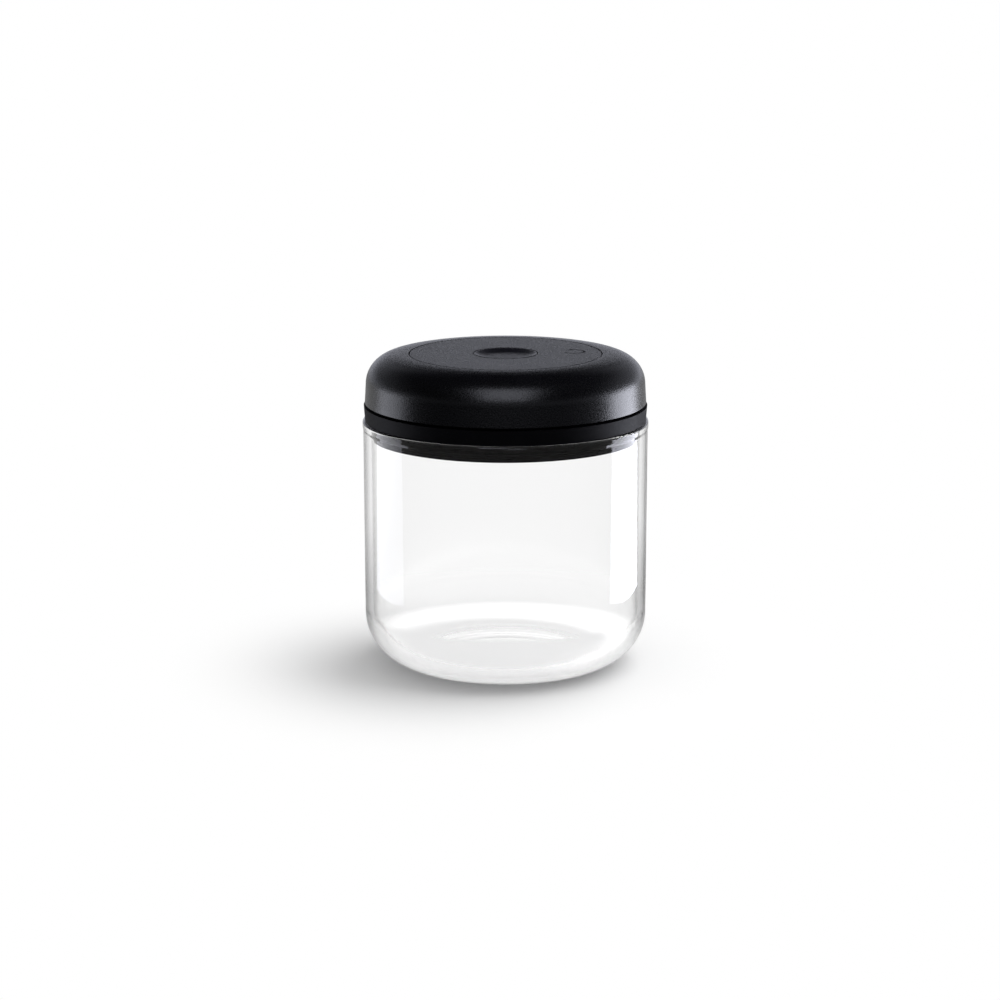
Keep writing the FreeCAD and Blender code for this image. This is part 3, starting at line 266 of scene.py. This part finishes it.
def noise(tree, vector, scale, detail=NOISE_DETAIL, roughness=NOISE_ROUGHNESS):
    node = add_node(tree, "ShaderNodeTexNoise")
    node.inputs["Scale"].default_value = scale
    node.inputs["Detail"].default_value = detail
    node.inputs["Roughness"].default_value = roughness
    tree.links.new(vector, node.inputs["Vector"])
    return node.outputs["Fac"]


def mapped(tree, value, span, new_low, new_high, curve="LINEAR"):
    """Carries a value from a span to a new one, and stops at its ends."""
    node = add_node(tree, "ShaderNodeMapRange", interpolation_type=curve)
    node.inputs["From Min"].default_value = span[0]
    node.inputs["From Max"].default_value = span[1]
    node.inputs["To Min"].default_value = new_low
    node.inputs["To Max"].default_value = new_high
    tree.links.new(value, node.inputs["Value"])
    return node.outputs["Result"]


def blended(tree, factor, first, second):
    """Goes from the first number to the second; each is a plain number or a node's output."""
    node = add_node(tree, "ShaderNodeMix")
    tree.links.new(factor, node.inputs["Factor"])
    feed(tree, node.inputs["A"], first)
    feed(tree, node.inputs["B"], second)
    return node.outputs["Result"]


def calculated(tree, operation, *values):
    """The result of one operation on plain numbers or node outputs."""
    node = add_node(tree, "ShaderNodeMath", operation=operation)
    for socket, value in zip(node.inputs, values):
        feed(tree, socket, value)
    return node.outputs["Value"]


def from_axis(tree, place):
    """Distance from the upright axis."""
    level = add_node(tree, "ShaderNodeVectorMath", operation="MULTIPLY")
    level.inputs[1].default_value = LEVEL_PLANE
    tree.links.new(place, level.inputs[0])
    reach = add_node(tree, "ShaderNodeVectorMath", operation="LENGTH")
    tree.links.new(level.outputs["Vector"], reach.inputs[0])
    return reach.outputs["Value"]


def two_tone(tree, factor, dark, light):
    node = add_node(tree, "ShaderNodeMix", data_type="RGBA")
    node.inputs["A"].default_value = (*dark, 1.0)
    node.inputs["B"].default_value = (*light, 1.0)
    tree.links.new(factor, node.inputs["Factor"])
    return node.outputs["Result"]


def clouded(tree, shader, pattern, dark, light):
    """Colours the surface from dark to light along a noise pattern."""
    factor = mapped(tree, pattern, NOISE_SPAN, 0.0, 1.0)
    tree.links.new(two_tone(tree, factor, dark, light), shader.inputs["Base Color"])


def roughened(tree, shader, pattern, roughness):
    """Lets the roughness vary a little along a noise pattern."""
    spread = (roughness - ROUGHNESS_SPREAD, roughness + ROUGHNESS_SPREAD)
    rough = mapped(tree, pattern, NOISE_SPAN, *spread)
    tree.links.new(rough, shader.inputs["Roughness"])
    return rough


def bumped(tree, target, height, strength, distance, invert=False):
    """Gives a shader, or another bump, the normals of a raised or sunk pattern."""
    node = add_node(tree, "ShaderNodeBump", invert=invert)
    node.inputs["Strength"].default_value = strength
    node.inputs["Distance"].default_value = distance
    tree.links.new(height, node.inputs["Height"])
    tree.links.new(node.outputs["Normal"], target.inputs["Normal"])
    return node


def grey(tone):
    return (tone, tone, tone)


def blue_black(tone):
    return (tone, tone, tone * BLUE_CAST)


def turning_arrow(tree, place):
    """One on an open ring that ends in an arrow head, nothing elsewhere."""
    shift = add_node(tree, "ShaderNodeVectorMath", operation="SUBTRACT")
    shift.inputs[1].default_value = MARK_MIDDLE
    tree.links.new(place, shift.inputs[0])
    local = shift.outputs["Vector"]
    parts = separated(tree, local)
    angle = calculated(tree, "ARCTAN2", parts["Y"], parts["X"])
    begun = calculated(tree, "GREATER_THAN", angle, MARK_START)
    stroke = calculated(tree, "MULTIPLY", begun, calculated(tree, "LESS_THAN", angle, MARK_HEAD_START))
    stroke = calculated(tree, "MULTIPLY", stroke, MARK_HALF_WIDTH)
    taper = mapped(tree, angle, (MARK_HEAD_START, MARK_END), MARK_HEAD_HALF_WIDTH, 0.0)
    head = calculated(tree, "MULTIPLY", taper, calculated(tree, "GREATER_THAN", angle, MARK_HEAD_START))
    half_width = calculated(tree, "MAXIMUM", stroke, head)
    offset = calculated(tree, "SUBTRACT", from_axis(tree, local), MARK_RADIUS)
    return calculated(tree, "LESS_THAN", calculated(tree, "ABSOLUTE", offset), half_width)


def grained_plastic(name, tones, roughness, specular, marked=False):
    """Black moulded plastic with a fine eroded grain and faint mottling."""
    material, tree, shader = new_material(name)
    place = object_coordinates(tree)
    grain = noise(tree, place, GRAIN_PER_METRE, GRAIN_DETAIL)
    clouded(tree, shader, noise(tree, place, MOTTLE_PER_METRE), blue_black(tones[0]), blue_black(tones[1]))
    rough = roughened(tree, shader, grain, roughness)
    shader.inputs["Specular IOR Level"].default_value = specular
    bump = bumped(tree, shader, grain, GRAIN_STRENGTH, GRAIN_DEPTH)
    if marked:
        mark = turning_arrow(tree, place)
        tree.links.new(blended(tree, mark, rough, MARK_ROUGHNESS), shader.inputs["Roughness"])
        bumped(tree, bump, mark, MARK_STRENGTH, MARK_DEPTH, invert=True)
    return material


def clear_glass(name):
    """Soda-lime glass: clear where it is looked through straight on, with a painted shade that greys it
    along its edges above the foot.
    """
    material, tree, shader = new_material(name)
    shader.inputs["Transmission Weight"].default_value = 1.0
    shader.inputs["IOR"].default_value = GLASS_IOR
    shader.inputs["Specular Tint"].default_value = (*grey(GLASS_GLEAM), 1.0)
    place = object_coordinates(tree)
    height = separated(tree, place)["Z"]
    facing = add_node(tree, "ShaderNodeLayerWeight").outputs["Facing"]
    # Painted shade: the base colour greys where the glass is seen at a slant above the foot, standing in
    # for dim surroundings seen through its edges.
    painted_edge_shade = mapped(tree, facing, GLASS_EDGE, 0.0, 1.0, "SMOOTHSTEP")
    wall = mapped(tree, height, GLASS_EDGE_HEIGHT, 0.0, 1.0, "SMOOTHSTEP")
    painted_edge_shade = calculated(tree, "MULTIPLY", painted_edge_shade, wall)
    colour = two_tone(tree, painted_edge_shade, grey(GLASS_FACE_TONE), grey(GLASS_EDGE_PAINTED_SHADE))
    tree.links.new(colour, shader.inputs["Base Color"])
    haze = mapped(tree, noise(tree, place, HAZE_PER_METRE), HAZE_SPAN, 0.0, GLASS_HAZE)
    out = mapped(tree, from_axis(tree, place), FOOT_HAZE_REACH, 0.0, FOOT_HAZE, "SMOOTHSTEP")
    low = mapped(tree, height, FOOT_HAZE_HEIGHT, 0.0, 1.0, "SMOOTHSTEP")
    foot = calculated(tree, "MULTIPLY", out, low)
    tree.links.new(calculated(tree, "MAXIMUM", haze, foot), shader.inputs["Roughness"])
    wave = noise(tree, place, WAVE_PER_METRE, WAVE_DETAIL)
    bumped(tree, shader, wave, WAVE_STRENGTH, WAVE_DEPTH)
    return material


def silicone(name, tones, roughness, specular):
    """Moulded silicone with a dusty bloom."""
    material, tree, shader = new_material(name)
    place = object_coordinates(tree)
    bloom = noise(tree, place, BLOOM_PER_METRE, BLOOM_DETAIL)
    clouded(tree, shader, bloom, grey(tones[0]), grey(tones[1]))
    roughened(tree, shader, bloom, roughness)
    shader.inputs["Specular IOR Level"].default_value = specular
    bumped(tree, shader, noise(tree, place, SKIN_PER_METRE), SKIN_STRENGTH, SKIN_DEPTH)
    return material


def acetal(name):
    """Natural acetal, off-white and slightly translucent, with flow marks."""
    material, tree, shader = new_material(name)
    place = object_coordinates(tree)
    flow = noise(tree, place, FLOW_PER_METRE, FLOW_DETAIL)
    clouded(tree, shader, flow, ACETAL_DARK, ACETAL_LIGHT)
    tree.links.new(mapped(tree, flow, NOISE_SPAN, *ACETAL_ROUGHNESS), shader.inputs["Roughness"])
    shader.inputs["Subsurface Weight"].default_value = ACETAL_SCATTER
    shader.inputs["Subsurface Scale"].default_value = ACETAL_DEPTH
    bumped(tree, shader, flow, FLOW_STRENGTH, FLOW_BUMP)
    return material


def drawn_steel(name, tones, roughness):
    """Plated or drawn steel with fine lines."""
    material, tree, shader = new_material(name)
    lines = noise(tree, object_coordinates(tree), LINES_PER_METRE, LINES_DETAIL)
    clouded(tree, shader, lines, grey(tones[0]), grey(tones[1]))
    shader.inputs["Metallic"].default_value = 1.0
    roughened(tree, shader, lines, roughness)
    bumped(tree, shader, lines, LINES_STRENGTH, LINES_DEPTH)
    return material


def felt(name):
    """Needled off-white felt."""
    material, tree, shader = new_material(name)
    fibres = noise(tree, object_coordinates(tree), FIBRES_PER_METRE, FIBRES_DETAIL, FIBRES_ROUGHNESS)
    clouded(tree, shader, fibres, FELT_DARK, FELT_LIGHT)
    shader.inputs["Roughness"].default_value = FELT_ROUGHNESS
    shader.inputs["Sheen Weight"].default_value = FELT_SHEEN
    bumped(tree, shader, fibres, FIBRES_STRENGTH, FIBRES_DEPTH)
    return material


def paint(material, *names):
    """Gives each named CAD node this one material."""
    for name in names:
        mesh = NODES[name].data
        mesh.materials.clear()
        mesh.materials.append(material)


def paint_nodes():
    paint(grained_plastic("cap_black", CAP_TONES, CAP_ROUGHNESS, CAP_SPECULAR), "twist_cap")
    paint(grained_plastic("disc_black", DISC_TONES, DISC_ROUGHNESS, DISC_SPECULAR, marked=True), "top_disc")
    # The button gets lighter tones than the disc, painted light for its finger dish.
    paint(grained_plastic("button_black_painted_light", BUTTON_PAINTED_LIGHT_TONES, BUTTON_ROUGHNESS, BUTTON_SPECULAR),
          "release_button")
    paint(grained_plastic("ring_black", RING_TONES, RING_ROUGHNESS, RING_SPECULAR),
          "base_ring", "pump_housing", "filter_cover")
    paint(clear_glass("jar_glass"), "glass_jar")
    paint(silicone("seal_black", SEAL_TONES, SEAL_ROUGHNESS, SEAL_SPECULAR),
          "seal_gasket", "piston_outer_seal", "piston_inner_seal")
    paint(silicone("valve_pale", VALVE_TONES, VALVE_ROUGHNESS, VALVE_SPECULAR),
          "inlet_valve", "outlet_valve", "release_seal")
    paint(acetal("slip_white"), "thrust_washer", "cam_sleeve", "piston", "release_stem")
    paint(drawn_steel("plated_steel", PLATED_TONES, PLATED_ROUGHNESS), "base_screws", "cap_screws")
    paint(drawn_steel("ground_steel", GROUND_TONES, GROUND_ROUGHNESS),
          "follower_pins", "button_spring", "seal_retainer")
    paint(felt("filter_felt"), "inlet_filter")


def add_button():
    """A piece in the place of the CAD button, with a shallower finger dish and normals to suit."""
    mesh = NODES["release_button"].data.copy()
    normals = mesh.attributes.get("custom_normal")
    if normals:
        mesh.attributes.remove(normals)
    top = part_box("release_button")[1].z
    for vertex in mesh.vertices:
        depth = top - vertex.co.z
        if depth < DISH_REACH and math.hypot(vertex.co.x, vertex.co.y) < DISH_RADIUS:
            vertex.co.z = top - depth * DISH_SHARE
    button = bpy.data.objects.new("finger_button", mesh)
    bpy.context.collection.objects.link(button)
    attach(button, "button")
    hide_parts("release_button")


def add_spring():
    """A piece in the place of the CAD spring, with a mesh of its own, on the lid base."""
    spring = bpy.data.objects.new("coil_spring", NODES["button_spring"].data.copy())
    bpy.context.collection.objects.link(spring)
    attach(spring, "lid_base")
    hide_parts("button_spring")
    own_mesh(spring)


def build_camera():
    data = bpy.data.cameras.new("photo_camera")
    data.sensor_width = SENSOR_WIDTH / MM
    data.sensor_fit = "HORIZONTAL"
    data.lens = SENSOR_WIDTH / MM * FOCAL_PIXELS / PICTURE_WIDTH
    centre = PICTURE_WIDTH / 2
    data.shift_x = (centre - AIM_PIXEL[0]) / PICTURE_WIDTH
    data.shift_y = (AIM_PIXEL[1] - centre) / PICTURE_WIDTH
    camera = bpy.data.objects.new("photo_camera", data)
    looking = Vector((0.0, math.cos(CAMERA_TILT), -math.sin(CAMERA_TILT)))
    camera.location = AIM_POINT - looking * CAMERA_DISTANCE
    camera.rotation_euler = looking.to_track_quat("-Z", "Y").to_euler()
    bpy.context.collection.objects.link(camera)
    bpy.context.scene.camera = camera


def soft_panel(name, turn, distance, middle, width, height, watts):
    """A soft box that faces the object and shows only as a highlight."""
    data = bpy.data.lights.new(name, "AREA")
    data.shape = "RECTANGLE"
    data.size = width
    data.size_y = height
    data.energy = watts
    data.color = COOL_WHITE
    panel = bpy.data.objects.new(name, data)
    panel.location = (distance * math.sin(turn), -distance * math.cos(turn), middle)
    panel.rotation_euler = (PANEL_TARGET - panel.location).to_track_quat("-Z", "Y").to_euler()
    panel.visible_camera = False
    panel.visible_diffuse = False
    panel.visible_transmission = False
    bpy.context.collection.objects.link(panel)


def key_light():
    """A wide, far light that gives the floor its soft shadow."""
    data = bpy.data.lights.new("key_light", "SUN")
    data.angle = KEY_WIDTH
    data.energy = KEY_STRENGTH
    key = bpy.data.objects.new("key_light", data)
    level = Vector((math.sin(KEY_DIRECTION), -math.cos(KEY_DIRECTION), 0.0))
    upward = Vector((0.0, 0.0, math.sin(KEY_ELEVATION)))
    source = level * math.cos(KEY_ELEVATION) + upward
    key.rotation_euler = (-source).to_track_quat("-Z", "Y").to_euler()
    key.visible_glossy = False
    key.visible_transmission = False
    bpy.context.collection.objects.link(key)


def build_lights():
    soft_panel("right_panel", *RIGHT_PANEL)
    soft_panel("left_panel", *LEFT_PANEL)
    soft_panel("front_panel", *FRONT_PANEL)
    key_light()


def looked_through(tree, path):
    """One where the eye looks through the glass, nothing where light from a surface passes it."""
    clear = calculated(tree, "LESS_THAN", path.outputs["Diffuse Depth"], HALF_A_BOUNCE)
    passed = calculated(tree, "GREATER_THAN", path.outputs["Transmission Depth"], HALF_A_BOUNCE)
    return calculated(tree, "MULTIPLY", clear, passed)


def seen_in_glass(tree, path, across, ends):
    """White, but dim towards the front of the room in the glass's single reflections."""
    once = calculated(tree, "COMPARE", path.outputs["Glossy Depth"], ONE_BOUNCE, HALF_A_BOUNCE)
    return blended(tree, once, 1.0, mapped(tree, across, ends, FRONT_IN_GLASS, 1.0))


def mirrored(tree, path):
    """One where a glossy surface throws the eye's ray back."""
    return calculated(tree, "MULTIPLY", path.outputs["Is Glossy Ray"], path.outputs["Is Reflection Ray"])


def backdrop(tree, direction):
    """What gloss sees: a low white wall behind and dim wings that stand higher, all dimmer at the left."""
    wall = mapped(tree, direction["Z"], BACKDROP_TOP, 1.0, CEILING)
    aside = mapped(tree, calculated(tree, "ABSOLUTE", direction["X"]), WING_START, 0.0, WING_LEVEL)
    height = mapped(tree, direction["Z"], WING_TOP, 1.0, 0.0)
    depth = mapped(tree, direction["Y"], WING_ENDS, 0.0, 1.0)
    wings = calculated(tree, "MULTIPLY", aside, calculated(tree, "MULTIPLY", height, depth))
    left = mapped(tree, direction["X"], BACKDROP_LEFT, LEFT_LEVEL, 1.0)
    behind = mapped(tree, direction["Y"], BACKDROP_ENDS, FRONT_OF_ROOM, 1.0)
    share = calculated(tree, "MULTIPLY", left, behind)
    return calculated(tree, "MULTIPLY", calculated(tree, "MAXIMUM", wall, wings), share)


def build_world():
    """White behind the object and through the glass; gloss sees a white backdrop in a dark room."""
    world = bpy.data.worlds.new("studio")
    world.use_nodes = True
    bpy.context.scene.world = world
    tree = world.node_tree
    background = tree.nodes["Background"]
    direction = separated(tree, add_node(tree, "ShaderNodeTexCoord").outputs["Generated"])
    path = add_node(tree, "ShaderNodeLightPath")
    gloss = mirrored(tree, path)
    strength = blended(tree, gloss, AMBIENT, backdrop(tree, direction))
    strength = blended(tree, path.outputs["Is Transmission Ray"], strength, AMBIENT_UNDER_GLASS)
    in_glass = seen_in_glass(tree, path, direction["Y"], BACKDROP_ENDS)
    strength = blended(tree, looked_through(tree, path), strength, in_glass)
    strength = blended(tree, path.outputs["Is Camera Ray"], strength, 1.0)
    tree.links.new(two_tone(tree, gloss, WHITE, COOL_WHITE), background.inputs["Color"])
    tree.links.new(strength, background.inputs["Strength"])


def clear_from_below(tree, shader):
    """Keeps the floor out of the way of an eye underneath it."""
    either = add_node(tree, "ShaderNodeMixShader")
    clear = add_node(tree, "ShaderNodeBsdfTransparent")
    side = add_node(tree, "ShaderNodeNewGeometry")
    tree.links.new(side.outputs["Backfacing"], either.inputs[0])
    tree.links.new(shader.outputs["BSDF"], either.inputs[1])
    tree.links.new(clear.outputs["BSDF"], either.inputs[2])
    tree.links.new(either.outputs["Shader"], tree.nodes["Material Output"].inputs["Surface"])


def floor_white():
    """Pale floor with a glow that lifts it to white where it is seen, mirrored or looked through to, and a
    painted light under the jar that lifts its shade where the glass is looked through.
    """
    material, tree, shader = new_material("floor_white")
    shader.inputs["Roughness"].default_value = FLOOR_ROUGHNESS
    shader.inputs["Specular IOR Level"].default_value = 0.0
    shader.inputs["Emission Color"].default_value = (*WHITE, 1.0)
    place = object_coordinates(tree)
    away = from_axis(tree, place)
    far = mapped(tree, away, FLOOR_FADE, 0.0, 1.0, "SMOOTHSTEP")
    tree.links.new(two_tone(tree, far, grey(FLOOR_ALBEDO), grey(0.0)), shader.inputs["Base Color"])
    path = add_node(tree, "ShaderNodeLightPath")
    open_floor = blended(tree, far, FLOOR_GLOW, 1.0)
    direct = calculated(tree, "MULTIPLY", open_floor, path.outputs["Is Camera Ray"])
    across = separated(tree, place)["Y"]
    in_glass = calculated(tree, "MULTIPLY", open_floor, seen_in_glass(tree, path, across, FLOOR_BEHIND))
    # Painted light: a pool of glow on the floor under the jar, seen only through the glass, in place of the
    # shade there.
    painted_light_under_jar = mapped(tree, away, UNDER_JAR_LIGHT_SPAN, 0.0, UNDER_JAR_PAINTED_LIGHT)
    through = calculated(tree, "MULTIPLY", calculated(tree, "MAXIMUM", in_glass, painted_light_under_jar),
                         looked_through(tree, path))
    behind = mapped(tree, across, FLOOR_BEHIND, 0.0, FLOOR_IN_GLOSS)
    gloss = calculated(tree, "MULTIPLY", calculated(tree, "MULTIPLY", far, behind), mirrored(tree, path))
    glow = calculated(tree, "MAXIMUM", calculated(tree, "MAXIMUM", direct, through), gloss)
    tree.links.new(glow, shader.inputs["Emission Strength"])
    clear_from_below(tree, shader)
    return material


def build_floor():
    half = FLOOR_SIZE / 2
    mesh = bpy.data.meshes.new("floor")
    corners = [(-half, -half, 0.0), (half, -half, 0.0), (half, half, 0.0), (-half, half, 0.0)]
    mesh.from_pydata(corners, [], [range(len(corners))])
    mesh.materials.append(floor_white())
    floor = bpy.data.objects.new("floor", mesh)
    floor.location.z = -FLOOR_DROP
    bpy.context.collection.objects.link(floor)


def deepen_glass():
    """Lets light turn as often as it does inside a thick glass corner."""
    cycles = bpy.context.scene.cycles
    cycles.max_bounces = GLASS_BOUNCES
    cycles.glossy_bounces = GLASS_BOUNCES
    cycles.transmission_bounces = GLASS_BOUNCES


bpy.context.scene.view_settings.view_transform = "Standard"
build_camera()
build_lights()
build_world()
build_floor()
deepen_glass()
paint_nodes()
add_button()
add_spring()
